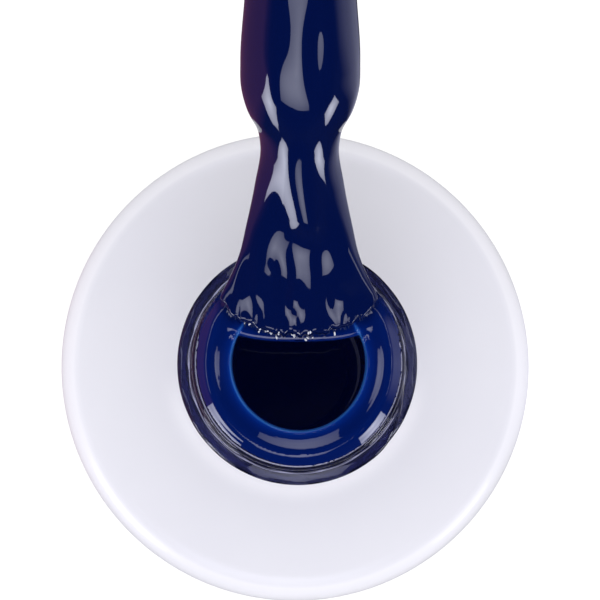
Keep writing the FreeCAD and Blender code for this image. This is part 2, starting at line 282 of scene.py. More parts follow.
# The coat along the brush, in millimetres from the stem's end: half width, height above and depth below.
COAT_S = [-15.2, -13.5, -10.5, -6.4, -3.2, -1.7, -0.6, 0.5, 1.5, 3.6, 6.0, 7.4, 8.6, 9.6, 10.6, 12.6]
COAT_WIDTH = [1.50, 1.95, 2.52, 2.90, 3.10, 3.05, 2.76, 2.22, 2.06, 2.34, 2.82, 3.14, 3.60, 4.10, 4.42, 4.50]
COAT_ABOVE = [1.50, 1.95, 2.45, 2.78, 2.90, 2.86, 2.66, 2.34, 2.10, 1.62, 1.18, 0.99, 0.86, 0.77, 0.70, 0.60]
COAT_BELOW = [1.50, 1.95, 2.50, 2.86, 3.00, 2.92, 2.62, 1.90, 1.66, 1.48, 1.26, 1.18, 1.10, 1.04, 0.98, 0.80]


def fold(s, x, at, reach, height):
    """A soft swelling at (s, x), with its reach up the brush, down to the tips and across."""
    along = np.where(s < at[0], (s - at[0]) / reach[0], (s - at[0]) / reach[1])
    return height * np.exp(-along ** 2 - ((x - at[1]) / reach[2]) ** 2)


def folds(s, x):
    """The soft folds that run down the brush: broad ridges with narrow valleys, and a few heavy drops."""
    wander = 0.20 * np.sin(0.95 * s + 0.5) + 0.08 * np.sin(2.1 * s)
    turn = 3.0 * (x + 1.72 + wander)
    ridges = (np.cos(turn) - 0.25 * np.cos(2 * turn)) * np.exp(-((x + 0.7) / 2.4) ** 4)
    fan = 0.10 * ridges * step_up(s, 5.8, 8.2) * (1 - step_up(s, 11.2, 12.6))
    stem = 0.022 * np.sin(2.6 * x + 0.7 * np.sin(0.9 * s)) * (1 - step_up(s, -2.0, 0.0))
    drops = (
        fold(s, x - 0.16 * (s - 3.0), (5.2, 0.0), (3.4, 1.3, 0.85), 0.46)
        + fold(s, x, (9.9, -0.40), (0.9, 0.9, 0.5), 0.22)
        + fold(s, x, (9.7, 2.3), (0.9, 0.9, 0.8), 0.22) + fold(s, x, (9.5, -2.9), (0.9, 0.9, 0.8), 0.18)
        + fold(s, x, (-3.2, -1.4), (1.3, 1.3, 0.9), 0.09)
        + fold(s, x, (-5.0, 0.70), (1.8, 2.4, 0.50), -0.20) + fold(s, x, (-9.5, 1.0), (2.2, 2.2, 0.6), -0.06)
    )
    return fan + stem + drops


def filament_lines(s, x):
    """The fine lines that the filaments draw in the polish near their tips."""
    warp = x + 0.05 * np.sin(3.1 * s + 4.0 * x) + 0.12 * np.sin(1.7 * x)
    lines = 0.012 * np.sin(13.0 * warp) + 0.007 * np.sin(19.0 * warp + 1.0)
    return lines * step_up(s + TIP_LINE_BOW * x * x, 10.3, 11.6)


def coat_field(s, x, n, reach, relief):
    """Below zero inside a flattened coat that ends, rounded, at its reach along the brush."""
    width = eased(s, COAT_S, COAT_WIDTH)
    thickness = np.where(n > 0, eased(s, COAT_S, COAT_ABOVE), eased(s, COAT_S, COAT_BELOW))
    past_tips = np.clip(s - (reach - COAT_ROUNDING), 0, None)
    past_stem = np.clip(-s - (STEM_COAT_LENGTH - COAT_ROUNDING / 2), 0, None)
    past = past_tips + past_stem
    level = np.sqrt((x / width) ** 2 + (n / thickness) ** 2 + (past / COAT_ROUNDING) ** 2)
    slope = np.sqrt((x / width ** 2) ** 2 + (n / thickness ** 2) ** 2 + (past / COAT_ROUNDING ** 2) ** 2)
    return level * (level - 1) / np.maximum(slope, 1e-6) - relief * np.clip(n / thickness, 0, 1)


def tip_line(x):
    """How far along the brush the polish reaches, at x across."""
    return BRISTLE_LENGTH + TIP_COVER - TIP_LINE_BOW * x * x - 0.5 * step_up(np.abs(x), 3.2, 4.6)


def brush_field(p):
    """Below zero inside the polish on the brush; roughly a distance in millimetres."""
    s, x, n = brush_coordinates(p)
    ragged = 0.05 * np.sin(5.3 * x + 0.6) + 0.05 * np.sin(8.9 * x + 2.0) + 0.04 * np.sin(13.7 * x)
    return coat_field(s, x, n, tip_line(x) + ragged, folds(s, x) + filament_lines(s, x))


# The ring of polish across the rim: radius, then height over the glass.
RING_R = [3.47, 3.52, 3.60, 3.74, 3.94, 4.14, 4.36, 4.56, 4.72, 4.86, 4.98, 5.20, 5.42, 5.54, 5.62, 5.68]
RING_Z = [-1.1, -0.45, -0.08, 0.06, 0.08, 0.17, 0.29, 0.40, 0.46, 0.46, 0.40, 0.21, 0, -0.15, -0.4, -1.1]


def ring_field(p):
    """Below zero inside the polish on the rim of the glass."""
    x, y, z = p[..., 0], p[..., 1], p[..., 2]
    r, turn = np.hypot(x, y), np.arctan2(y, x)
    r = r + 0.035 * np.cos(turn + 2.6) + 0.02 * np.cos(3 * turn + 1.0)
    swell = 1 + 0.10 * np.cos(turn - 1.2) + 0.05 * np.cos(2 * turn + 0.7) + 0.8 * step_up(y, 1.0, 3.8)
    inner, outer = RING_R[0], RING_R[-1]
    step, margin, steepest = 0.01, 0.012, 3
    spot = np.clip(r, inner + margin, outer - margin)
    height = eased(spot, RING_R, RING_Z)
    slope = (eased(spot + step, RING_R, RING_Z) - eased(spot - step, RING_R, RING_Z)) / (2 * step)
    height = np.where(height > 0, height * swell, height)
    top = (z - RIM - height) / np.sqrt(1 + np.minimum(slope * slope, steepest * steepest))
    beside = np.clip(np.maximum(inner - r, r - outer), 0, None)
    over = np.clip(z - RIM - max(RING_Z) * swell, 0, None)
    away = np.hypot(beside, over)
    return np.maximum(np.where(away > 0, np.maximum(top, away), top), RIM - RING_DEPTH - z)


def glass_field(p):
    """Below zero a little inside the top of the neck, where the polish stops."""
    r, z = np.hypot(p[..., 0], p[..., 1]), p[..., 2]
    wall = np.maximum(BORE_RADIUS + GLASS_SINK - r, r - NECK_RADIUS + GLASS_SINK)
    d = np.stack([wall + RIM_EDGE, z - RIM + GLASS_SINK + RIM_EDGE], -1)
    return np.hypot(*np.moveaxis(np.clip(d, 0, None), -1, 0)) + np.minimum(d.max(-1), 0) - RIM_EDGE


def drape_field(p):
    """The polish that fills in under the fanned bristles, between them and the rim."""
    away = np.abs(p - DRAPE_CENTRE) / DRAPE_SIZE
    flat = (away[..., 0] ** DRAPE_POWER + away[..., 1] ** DRAPE_POWER) ** (1 / DRAPE_POWER)
    level = (flat ** DRAPE_EDGE_POWER + away[..., 2] ** DRAPE_EDGE_POWER) ** (1 / DRAPE_EDGE_POWER)
    return (level - 1) * DRAPE_SIZE[2]


def all_polish(p):
    """Below zero inside the polish on the rim and the brush, with a fillet that is slight at the tips."""
    s, x, _ = brush_coordinates(p)
    wet = smooth_min(ring_field(p), drape_field(p), DRAPE_FILLET)
    at_tips = step_up(s + TIP_LINE_BOW * x * x, 9.4, 11.6)
    at_corners = step_up(np.abs(x), 2.8, 4.0)
    fillet = STEM_FILLET - (STEM_FILLET - TIP_FILLET - CORNER_FILLET * at_corners) * at_tips
    wet = smooth_min(wet, brush_field(p), fillet)
    return np.maximum(wet, -glass_field(p))


def seam(p):
    """Below zero on the brush's side of the cut between the brush and the rim."""
    s, x, n = brush_coordinates(p)
    return coat_field(s, x, n, tip_line(x) + SEAM_PAST_TIPS, SEAM_RISE) - SEAM_GAP


def gradient(field, p, step=0.01):
    """The slope of a field at each point, along x, y and z."""
    slopes = []
    for axis in range(3):
        move = np.zeros(3)
        move[axis] = step
        slopes.append((field(p + move) - field(p - move)) / (2 * step))
    return np.stack(slopes, -1)


def settle(p, cell, fields):
    """Moves points onto the surface of every field given, each by no more than a share of its cell."""
    start = p.copy()
    furthest = SETTLE_REACH * cell
    for _ in range(SETTLE_ROUNDS):
        values = np.stack([f(p) for f in fields], -1)
        slopes = np.stack([gradient(f, p) for f in fields], -2)
        square = slopes @ np.swapaxes(slopes, -1, -2) + 1e-4 * np.eye(len(fields))
        p = p - (np.swapaxes(slopes, -1, -2) @ np.linalg.solve(square, values[..., None]))[..., 0]
        p = start + np.clip(p - start, -furthest, furthest)
    return p


def cell_corners(values):
    """The eight views of a grid that give, for each cell, the value at each of its corners."""
    i_count, j_count, k_count = (count - 1 for count in values.shape)
    return [
        values[i:i_count + i, j:j_count + j, k:k_count + k]
        for i in (0, 1) for j in (0, 1) for k in (0, 1)
    ]


def crosses_zero(values):
    """True for the cells that have corners on both sides of the surface."""
    inside = sum((corner < 0).astype(np.int8) for corner in cell_corners(values))
    return (inside > 0) & (inside < 8)


def crossings(values, cells):
    """Where the surface crosses each cell's edges: the sum of the places, in cells, and their number."""
    total, hits = np.zeros((len(cells), 3)), np.zeros(len(cells))
    for corner in np.ndindex(2, 2, 2):
        a = np.array(corner)
        for axis in range(3):
            if a[axis]:
                continue
            b = a.copy()
            b[axis] = 1
            va, vb = values[tuple((cells + a).T)], values[tuple((cells + b).T)]
            crosses = (va < 0) != (vb < 0)
            t = np.where(crosses, va / np.where(crosses, va - vb, 1), 0)
            spot = a + t[:, None] * (b - a)
            total += np.where(crosses[:, None], spot, 0)
            hits += crosses
    return total, hits


def quads_across(values, number):
    """A face for each edge of the grid that the surface crosses, between the four cells round it."""
    faces = []
    for axis in range(3):
        u, v = (axis + 1) % 3, (axis + 2) % 3
        below = np.take(values, range(values.shape[axis] - 1), axis) < 0
        after = np.take(values, range(1, values.shape[axis]), axis) < 0
        leaving, entering = np.argwhere(below & ~after), np.argwhere(~below & after)
        for inside_first, spots in ((True, leaving), (False, entering)):
            spots = spots[(spots[:, u] > 0) & (spots[:, v] > 0)]
            spots = spots[(spots[:, u] < values.shape[u] - 1) & (spots[:, v] < values.shape[v] - 1)]
            ring = []
            for du, dv in ((-1, -1), (0, -1), (0, 0), (-1, 0)):
                cell = spots.copy()
                cell[:, u] += du
                cell[:, v] += dv
                ring.append(number[tuple(cell.T)])
            faces.append(np.stack(ring if inside_first else ring[::-1], -1))
    return np.concatenate(faces)


def skin(name, outside, cut, low, high, step):
    """The closed surface of what lies inside both fields, with a crisp edge where they meet."""
    counts = np.ceil((high - low) / step).astype(int) + 1
    axes = [low[i] + step * np.arange(counts[i]) for i in range(3)]
    grid = np.stack(np.meshgrid(*axes, indexing="ij"), -1)
    first, second = outside(grid), cut(grid)
    values = np.maximum(first, second)
    del grid

    active = crosses_zero(values)
    cells = np.argwhere(active)
    number = np.full(active.shape, -1)
    number[active] = np.arange(len(cells))
    total, hits = crossings(values, cells)
    points = low + cells * step + step * total / hits[:, None]

    both = (crosses_zero(first) & crosses_zero(second))[active]
    on_cut = cut(points) > outside(points)
    settled = points.copy()
    for chosen, fields in ((~on_cut & ~both, [outside]), (on_cut & ~both, [cut]), (both, [outside, cut])):
        if chosen.any():
            settled[chosen] = settle(points[chosen], step, fields)
    return mesh_piece(name, settled, quads_across(values, number))


def shade_like(obj, outside, cut):
    """Normals taken from the fields, so that two skins of one liquid shade as one across their cut."""
    mesh = obj.data
    p = vertices_mm(obj)

    def unit(v):
        return v / np.maximum(np.linalg.norm(v, axis=-1, keepdims=True), 1e-9)

    outer, inner = unit(gradient(outside, p)), unit(gradient(cut, p))
    corner_vertex = np.empty(len(mesh.loops), int)
    mesh.loops.foreach_get("vertex_index", corner_vertex)
    sizes = np.empty(len(mesh.polygons), int)
    mesh.polygons.foreach_get("loop_total", sizes)
    centres = np.empty(len(mesh.polygons) * 3)
    mesh.polygons.foreach_get("center", centres)
    centres = centres.reshape(-1, 3) / MM
    on_cut = np.repeat(np.abs(cut(centres)) < np.abs(outside(centres)), sizes)
    normals = np.where(on_cut[:, None], inner[corner_vertex], outer[corner_vertex])
    mesh.normals_split_custom_set([tuple(n) for n in normals])


# ---------------------------------------------------------------- materials

def new_material(name, **sockets):
    material = bpy.data.materials.new(name)
    material.use_nodes = True
    shader = material.node_tree.nodes["Principled BSDF"]
    for socket, value in sockets.items():
        shader.inputs[socket.replace("_", " ").title().replace("Ior", "IOR")].default_value = value
    return material, shader


def node(owner, kind, **settings):
    """A new node of a material, a lamp's data or the world."""
    made = owner.node_tree.nodes.new(kind)
    for key, value in settings.items():
        setattr(made, key, value)
    return made


def link(owner, output, target):
    owner.node_tree.links.new(output, target)


def maths(owner, operation, *values):
    """The output of a Math node whose inputs are numbers or other nodes' outputs."""
    made = node(owner, "ShaderNodeMath", operation=operation)
    for socket, value in zip(made.inputs, values):
        if isinstance(value, (int, float)):
            socket.default_value = value
        else:
            link(owner, value, socket)
    return made.outputs["Value"]


def noise(material, scale, detail):
    """The output of a noise texture over the object's own coordinates, with its scale per metre."""
    texture = node(material, "ShaderNodeTexNoise")
    texture.inputs["Scale"].default_value = scale
    texture.inputs["Detail"].default_value = detail
    place = node(material, "ShaderNodeTexCoord").outputs["Object"]
    link(material, place, texture.inputs["Vector"])
    return texture.outputs["Fac"]


def ramp(owner, value, stops):
    """The colour at a value, through stops of (position, colour)."""
    made = node(owner, "ShaderNodeValToRGB")
    elements = made.color_ramp.elements
    while len(elements) < len(stops):
        elements.new(0.5)
    for element, (position, colour) in zip(elements, stops):
        element.position = position
        element.color = (*colour, 1.0)
    link(owner, value, made.inputs["Fac"])
    return made.outputs["Color"]


def bump(material, shader, height, strength, distance):
    made = node(material, "ShaderNodeBump")
    made.inputs["Strength"].default_value = strength
    made.inputs["Distance"].default_value = distance
    link(material, height, made.inputs["Height"])
    link(material, made.outputs["Normal"], shader.inputs["Normal"])


def grey(value):
    return (value, value, value)


def polish_material():
    """Wet navy gel: darker where it is thick, bright blue where a thin edge lets light through."""
    material, shader = new_material("wet_polish", roughness=0.03, ior=1.5, specular_ior_level=0.8)
    thin = node(material, "ShaderNodeAttribute", attribute_name="thin").outputs["Fac"]
    colour = ramp(material, thin, [
        (0.0, (0.0010, 0.0035, 0.032)),
        (0.18, (0.0008, 0.0065, 0.070)),
        (0.42, (0.0006, 0.0110, 0.125)),
        (0.62, (0.0020, 0.0300, 0.240)),
        (1.0, (0.0300, 0.1500, 0.500)),
    ])
    link(material, colour, shader.inputs["Base Color"])
    waves = noise(material, 900.0, 2.0)
    bump(material, shader, waves, 0.04, 0.00004)
    return material


def glass_material():
    """Clear glass, tinted blue as painted reflection and shade of the polish in the neck, with the faint
    waviness of a moulded neck.
    """
    material, shader = new_material("clear_glass", roughness=0.0, ior=1.52, transmission_weight=1.0)
    # Painted reflection and shade: the blue-violet tint stands in for the navy polish the neck mirrors and
    # the shade round its foot.
    shader.inputs["Base Color"].default_value = (0.38, 0.40, 0.74, 1)
    waves = noise(material, 700.0, 2.0)
    bump(material, shader, waves, 0.10, 0.00005)
    return material


def lacquer_material():
    """White lacquer sprayed on glass: smooth, faintly lavender, with a very fine orange peel.

    It glows with painted light, a stand-in for light that comes out through the glass: it lifts the lacquer's
    shade everywhere and is brightest round the shoulder's edge.
    """
    material, shader = new_material(
        "white_lacquer", roughness=0.38, ior=1.48, coat_weight=0.35, coat_roughness=0.12)
    cloud = noise(material, 120.0, 3.0)
    colour = ramp(material, cloud, [(0.3, (0.55, 0.545, 0.60)), (0.7, (0.575, 0.57, 0.62))])
    link(material, colour, shader.inputs["Base Color"])
    # Painted light: the lacquer glows everywhere, and most where the attribute edge marks a painted highlight
    # and a painted caustic.
    edge = node(material, "ShaderNodeAttribute", attribute_name="edge").outputs["Fac"]
    glow = ramp(material, edge, [(0.0, (0.61, 0.605, 0.655)), (1.0, (0.90, 0.89, 0.93))])
    link(material, glow, shader.inputs["Emission Color"])
    shader.inputs["Emission Strength"].default_value = 0.37
    peel = noise(material, 2600.0, 2.0)
    bump(material, shader, peel, 0.12, 0.00003)
    return material


def moulded_material(name, low, high, roughness, coat):
    """Moulded plastic, foam or vinyl, clouded between two tones, with a fine grain."""
    material, shader = new_material(
        name, roughness=roughness, ior=1.49, coat_weight=coat, coat_roughness=0.06)
    cloud = noise(material, 90.0, 2.0)
    colour = ramp(material, cloud, [(0.3, low), (0.7, high)])
    link(material, colour, shader.inputs["Base Color"])
    grain = noise(material, 3200.0, 2.0)
    bump(material, shader, grain, 0.10, 0.00002)
    return material


def metal_material(name, tone, roughness):
    """Bare metal with fine scratches."""
    material, shader = new_material(name, roughness=roughness, metallic=1.0)
    scratches = noise(material, 1800.0, 4.0)
    colour = ramp(material, scratches, [(0.3, grey(tone * 0.9)), (0.7, grey(tone))])
    link(material, colour, shader.inputs["Base Color"])
    bump(material, shader, scratches, 0.05, 0.00002)
    return material


def filament_material():
    """Nylon that the polish has stained."""
    material, shader = new_material("nylon_filaments", roughness=0.22, ior=1.53)
    cloud = noise(material, 1500.0, 2.0)
    colour = ramp(material, cloud, [(0.35, (0.004, 0.012, 0.06)), (0.65, (0.02, 0.035, 0.11))])
    link(material, colour, shader.inputs["Base Color"])
    return material


def floor_material():
    """A white floor that glows a little, so that it stays white in every view."""
    material, shader = new_material("studio_floor", roughness=0.6)
    shader.inputs["Base Color"].default_value = (0.25, 0.25, 0.25, 1)
    shader.inputs["Emission Color"].default_value = (1, 1, 1, 1)
    shader.inputs["Emission Strength"].default_value = 0.86
    return material


def surround_material():
    """What the wet polish mirrors: a dark studio, plum on the left and pale lavender on the right."""
    material = bpy.data.materials.new("studio_surround")
    material.use_nodes = True
    material.node_tree.nodes.clear()
    place = node(material, "ShaderNodeTexCoord").outputs["Object"]
    split = node(material, "ShaderNodeSeparateXYZ")
    link(material, place, split.inputs["Vector"])

    reach_x = maths(material, "ABSOLUTE", split.outputs["X"])
    reach_y = maths(material, "ABSOLUTE", split.outputs["Y"])
    reach = maths(material, "ADD", reach_x, reach_y)
    share = maths(material, "DIVIDE", split.outputs["X"], reach)
    side = maths(material, "MULTIPLY_ADD", share, 0.5, 0.5)
    plum, dark = (0.30, 0.10, 0.18), (0.02, 0.02, 0.03)
    lavender, bright = (0.55, 0.55, 0.75), (0.75, 0.76, 1.0)
    colour = ramp(material, side, [
        (0.0, plum), (0.16, plum), (0.23, dark), (0.85, dark), (0.92, lavender), (1.0, bright),
    ])
    height = maths(material, "MULTIPLY_ADD", split.outputs["Z"], 0.5 / SURROUND_RADIUS, 0.5)
    lift = ramp(material, height, [
        (0.0, grey(0.7)), (0.50, grey(0.9)), (0.56, grey(0.9)),
        (0.64, grey(0.25)), (0.72, grey(0.04)), (1.0, grey(0.02)),
    ])
    mix = node(material, "ShaderNodeMix", data_type="RGBA", blend_type="MULTIPLY")
    mix.inputs["Factor"].default_value = 1.0
    link(material, colour, mix.inputs["A"])
    link(material, lift, mix.inputs["B"])
    glow = node(material, "ShaderNodeEmission")
    link(material, mix.outputs["Result"], glow.inputs["Color"])
    out = node(material, "ShaderNodeOutputMaterial")
    link(material, glow.outputs["Emission"], out.inputs["Surface"])
    return material


def give(obj, material):
    """Makes a material the object's only one."""
    obj.data.materials.clear()
    obj.data.materials.append(material)


# ---------------------------------------------------------------- bottle

def thread_height(turn, z, start, pitch, turns):
    """0 to 1: how far the thread stands out at an angle (radians) and height, with tapered ends."""
    share = (turn % (2 * np.pi)) / (2 * np.pi)
    best = np.zeros_like(turn)
    for lap in range(-1, int(turns) + 2):
        along = share + lap
        middle = start + along * pitch
        taper = step_up(np.minimum(along, turns - along), 0, THREAD_TAPER)
        ridge = step_up(THREAD_HALF_WIDTH - np.abs(z - middle), 0, THREAD_FLANK)
        best = np.maximum(best, taper * ridge)
    return best


def bottle_shape(r, z, angles):
    """The neck's outer wall with its screw thread."""
    radii = np.full(len(angles), float(r))
    if abs(r - NECK_RADIUS) < 0.02 and SHOULDER + 1 < z < RIM - 0.3:
        radii = radii + (THREAD_CREST - NECK_RADIUS) * thread_height(
            angles, z, THREAD_START, THREAD_PITCH, THREAD_TURNS)
    return radii


def shoulder_line(offset):
    """The outside of the bottle from the side of the body to the foot of the neck."""
    edge = SHOULDER_RADIUS + offset
    side = BODY_RADIUS + offset
    flat = SHOULDER - SHOULDER_RISE + offset
    foot = NECK_FOOT - offset
    return [
        *arc((side - edge, flat - edge), edge, 0, 86, 14),
        *arc((NECK_RADIUS + NECK_FOOT, SHOULDER + offset + foot), foot, 266, 180, 12),
    ]


def make_glass():
    """The bottle, drawn as one line from the middle of its base to the middle of its floor."""
    inner = BODY_RADIUS - WALL
    roof_edge, floor_edge = 1.5, 1.8
    body = [
        (0.0, PUSH_UP),
        (FOOT_RADIUS, 0.0),
        *arc((BODY_RADIUS - HEEL_RADIUS, HEEL_RADIUS), HEEL_RADIUS, -90, 0, 12),
        *shoulder_line(0.0),
    ]
    neck = [body[-1], (NECK_RADIUS, RIM - RIM_EDGE)]
    inside = [
        *arc((NECK_RADIUS - RIM_EDGE, RIM - RIM_EDGE), RIM_EDGE, 0, 90, 8),
        *arc((BORE_RADIUS + RIM_EDGE, RIM - RIM_EDGE), RIM_EDGE, 90, 180, 8),
        (BORE_RADIUS, ROOF + 1.8),
        (BORE_RADIUS + 0.6, ROOF + 0.7),
        *arc((inner - roof_edge, ROOF - roof_edge), roof_edge, 90, 0, 8),
        *arc((inner - floor_edge, FLOOR + floor_edge), floor_edge, 0, -90, 8),
        (0.0, FLOOR),
    ]
    coarse, fine = 0.8, 0.12
    profile = evenly(body, coarse)[:-1] + evenly(neck, fine)[:-1] + evenly(inside, coarse)
    obj = lathe("bottle_glass", profile, 288, closed=False, shape=bottle_shape)
    give(obj, GLASS)
    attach(obj, "bottle")
    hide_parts("glass_bottle")


def lacquer_painted_glow(p):
    """0 to 1: how strongly the lacquer's painted glow shows at each point: a painted highlight round the
    shoulder's edge, and some painted caustic on the front, round the foot of the neck."""
    r, y, z = np.hypot(p[:, 0], p[:, 1]), p[:, 1], p[:, 2]
    # Painted highlight round the shoulder's edge, then a painted caustic on the front round the neck's foot.
    edge = step_up(r, BODY_RADIUS - 0.85, BODY_RADIUS - 0.60) * step_up(z, SHOULDER - 4.5, SHOULDER - 1.6)
    foot = np.exp(-((r - 6.9) / 0.5) ** 2) * step_up(-y, 0.0, 3.0) * step_up(z, SHOULDER - 1.0, SHOULDER)
    return np.clip(edge + 0.9 * foot, 0, 1)


def make_lacquer():
    """The lacquer's skin over the glass, from above the heel to the foot of the neck."""
    thickness = LACQUER_RADIUS - BODY_RADIUS
    sink = 0.02
    top = SHOULDER + 2 * NECK_FOOT
    outside = [
        (BODY_RADIUS - sink, LACQUER_BOTTOM),
        (LACQUER_RADIUS - 0.05, LACQUER_BOTTOM),
        (LACQUER_RADIUS, LACQUER_BOTTOM + 0.08),
        *shoulder_line(thickness),
        (NECK_RADIUS + thickness, top - 0.05),
        (NECK_RADIUS + thickness - 0.06, top),
        (NECK_RADIUS - sink, top),
    ]
    inside = reversed(shoulder_line(-sink))
    obj = lathe("bottle_lacquer", evenly([*outside, *inside], 0.25), 288)
    # The mask of the lacquer's painted glow.
    store(obj, "edge", lacquer_painted_glow(vertices_mm(obj)))
    give(obj, LACQUER)
    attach(obj, "bottle")
    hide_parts("white_coating")


def make_bore_film():
    """The polish that clings to the inside of the neck below the rim."""
    inside = BORE_RADIUS - 0.17
    sunk = BORE_RADIUS + GLASS_SINK
    top = RIM - 0.6
    bottom = ROOF + 1.0

    def wavy(r, z, angles):
        share = np.clip((z - bottom) / 2.0, 0, 1)
        return r - 0.02 * np.sin(3 * angles + 0.7 * z) * (r < BORE_RADIUS) * share

    profile = [(sunk, bottom), (sunk, top), (inside, top), (inside, bottom + 0.15)]
    obj = lathe("bore_film", evenly(profile, 0.4), 144, shape=wavy)
    store(obj, "thin", np.full(len(obj.data.vertices), 0.02))
    give(obj, POLISH)
    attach(obj, "bottle")


def thinness(p):
    """How much light the polish lets through: near 0 where it is thick, most at the inner lip of the ring."""
    r, z = np.hypot(p[:, 0], p[:, 1]), p[:, 2]
    brush_gap = brush_field(p)
    off_brush = step_up(brush_gap, 0.1, 0.9)
    clear_of_brush = step_up(brush_gap, 0.0, 0.4)
    lip = np.exp(-((r - 3.60) / 0.085) ** 2) * step_up(z, RIM - 0.5, RIM - 0.1)
    inner = step_up(4.35 - r, 0.0, 0.7) * step_up(z, RIM - 0.7, RIM - 0.2)
    return np.clip(0.08 + 0.19 * off_brush + (0.20 * inner + 0.48 * lip) * clear_of_brush, 0, 1)


def make_wet_polish():
    """The ring on the rim and the coat on the brush, one liquid cut in two, each found in a box round it."""
    ring_low = np.array([-6.1, -6.1, RIM - 0.85])
    ring_high = np.array([6.1, 7.4, RIM + 1.9])

    def other_side(p):
        return -seam(p)

    ring = skin("rim_polish_ring", all_polish, other_side, ring_low, ring_high, SKIN_STEP)
    shade_like(ring, all_polish, other_side)
    far = STEM_END + ALONG * (STEM_COAT_LENGTH + 0.8)
    brush_low = np.array([-5.5, 0.3, RIM - 0.5])
    brush_high = np.array([5.5, far[1] + 1.2, far[2] + 2.4])
    brush = skin("brush_polish", all_polish, seam, brush_low, brush_high, SKIN_STEP)
    shade_like(brush, all_polish, seam)
    for obj in (ring, brush):
        store(obj, "thin", thinness(vertices_mm(obj)))
        give(obj, POLISH)
    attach(ring, "bottle")
    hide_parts("rim_polish")
    bend_with_brush(brush)
    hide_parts("bristle_polish", "stem_polish")


def bend_with_brush(obj):
    """Bakes the object's placement into its mesh; the ends of the bristles' bend are worked out but not used.
    """
    start, end = on_bristles(np.array([BEND_FROM, BEND_TO]), 0.0, 0.0) * MM
    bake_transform(obj)


# ---------------------------------------------------------------- bristles

def filament_middles(across, up, reach):
    """Points along a filament from inside the stem to its tip, at a place (across, up) in the bundle."""
    middles = []
    for i in range(FILAMENT_STEPS):
        s = -SOCKET_DEPTH + (reach + SOCKET_DEPTH) * i / (FILAMENT_STEPS - 1)
        share = np.clip(s / reach, 0, 1)
        half_width = BUNDLE_RADIUS + (FAN_HALF_WIDTH - BUNDLE_RADIUS) * share ** 1.35
        half_thickness = BUNDLE_RADIUS + (FAN_HALF_THICKNESS - BUNDLE_RADIUS) * share ** 0.8
        middles.append(on_bristles(s, across * half_width, up * half_thickness))
    return middles


def make_bristles():
    """The filaments, from the staple to the fanned tips."""
    draw = random.Random(7)
    sides = FILAMENT_SIDES
    points, faces = [], []
    for _ in range(FILAMENTS):
        across, up = draw.uniform(-1, 1), draw.uniform(-1, 1)
        if across * across + up * up > 1:
            across, up = across * 0.6, up * 0.6
        reach = tip_line(4.1 * across) + draw.triangular(-0.70, 0.20, -0.20)
        radius = draw.uniform(0.045, 0.06)
        start = len(points)
        for i, middle in enumerate(filament_middles(across, up, reach)):
            slim = radius * (0.55 if i == FILAMENT_STEPS - 1 else 1)
            for k in range(sides):
                turn = 2 * math.pi * k / sides
                points.append(middle + slim * np.array([math.cos(turn), 0, math.sin(turn)]))
        for i in range(FILAMENT_STEPS - 1):
            for k in range(sides):
                a, b = start + i * sides + k, start + i * sides + (k + 1) % sides
                faces.append((a, b, b + sides, a + sides))
        faces.append(tuple(start + k for k in reversed(range(sides))))
        faces.append(tuple(start + (FILAMENT_STEPS - 1) * sides + k for k in range(sides)))
    obj = mesh_piece("bristle_filaments", points, faces)
    give(obj, FILAMENT)
    bend_with_brush(obj)
    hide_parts("bristle_bundle")


def make_tips_and_glints():
    """Cut ends of nylon that the polish has left bare: pale blobs, partly the nylon's own colour and partly
    painted glints along the edge of the brush.
    """
    draw = random.Random(19)
    work = bmesh.new()
    for _ in range(GLINTING_TIPS):
        x = draw.triangular(-3.6, 3.4, -0.4)
        s = tip_line(x) + draw.uniform(-0.30, 0.22)
        made = bmesh.ops.create_icosphere(work, subdivisions=2, radius=1.0)
        size = Vector((draw.uniform(0.03, 0.06), draw.uniform(0.05, 0.12), draw.uniform(0.03, 0.05)))
        lean = draw.uniform(-0.9, 0.9)
        middle = Vector(on_surface(s, x))
        for vertex in made["verts"]:
            a, b, c = vertex.co.x * size.x, vertex.co.y * size.y, vertex.co.z * size.z
            turned_a = a * math.cos(lean) - b * math.sin(lean)
            turned_b = a * math.sin(lean) + b * math.cos(lean)
            vertex.co = (middle + Vector((turned_a, turned_b, c))) * MM
    mesh = bpy.data.meshes.new("bare_tips_glints")
    work.to_mesh(mesh)
    work.free()
    mesh.polygons.foreach_set("use_smooth", [True] * len(mesh.polygons))
    obj = add_object("bare_tips_glints", mesh)
    give(obj, NYLON_AND_GLINT)
    bend_with_brush(obj)


def on_surface(s, x):
    """The point on top of the polish at s along the bristles and x across."""
    heights = np.linspace(-0.6, 2.0, 105)
    spots = on_bristles(s, x, heights)
    outside = np.argwhere(all_polish(spots) > 0)[:, 0]
    outside = outside[heights[outside] > 0.05]
    return spots[outside[0] if len(outside) else -1]


# ---------------------------------------------------------------- floor, light and camera

def add_floor():
    """A white floor that the gloss doesn't mirror."""
    bpy.ops.mesh.primitive_plane_add(size=FLOOR_SIZE, location=(0, 0, 0))
    floor = bpy.context.object
    floor.name = "studio_floor"
    give(floor, floor_material())
    floor.visible_glossy = False


def add_surround():
    """A dark room that only reflections see, so that the gloss isn't washed out by the white floor."""
    bpy.ops.mesh.primitive_uv_sphere_add(segments=64, ring_count=32, radius=SURROUND_RADIUS)
    surround = bpy.context.object
    surround.name = "studio_surround"
    give(surround, surround_material())
    for rays in ("camera", "diffuse", "transmission", "volume_scatter", "shadow"):
        setattr(surround, f"visible_{rays}", False)


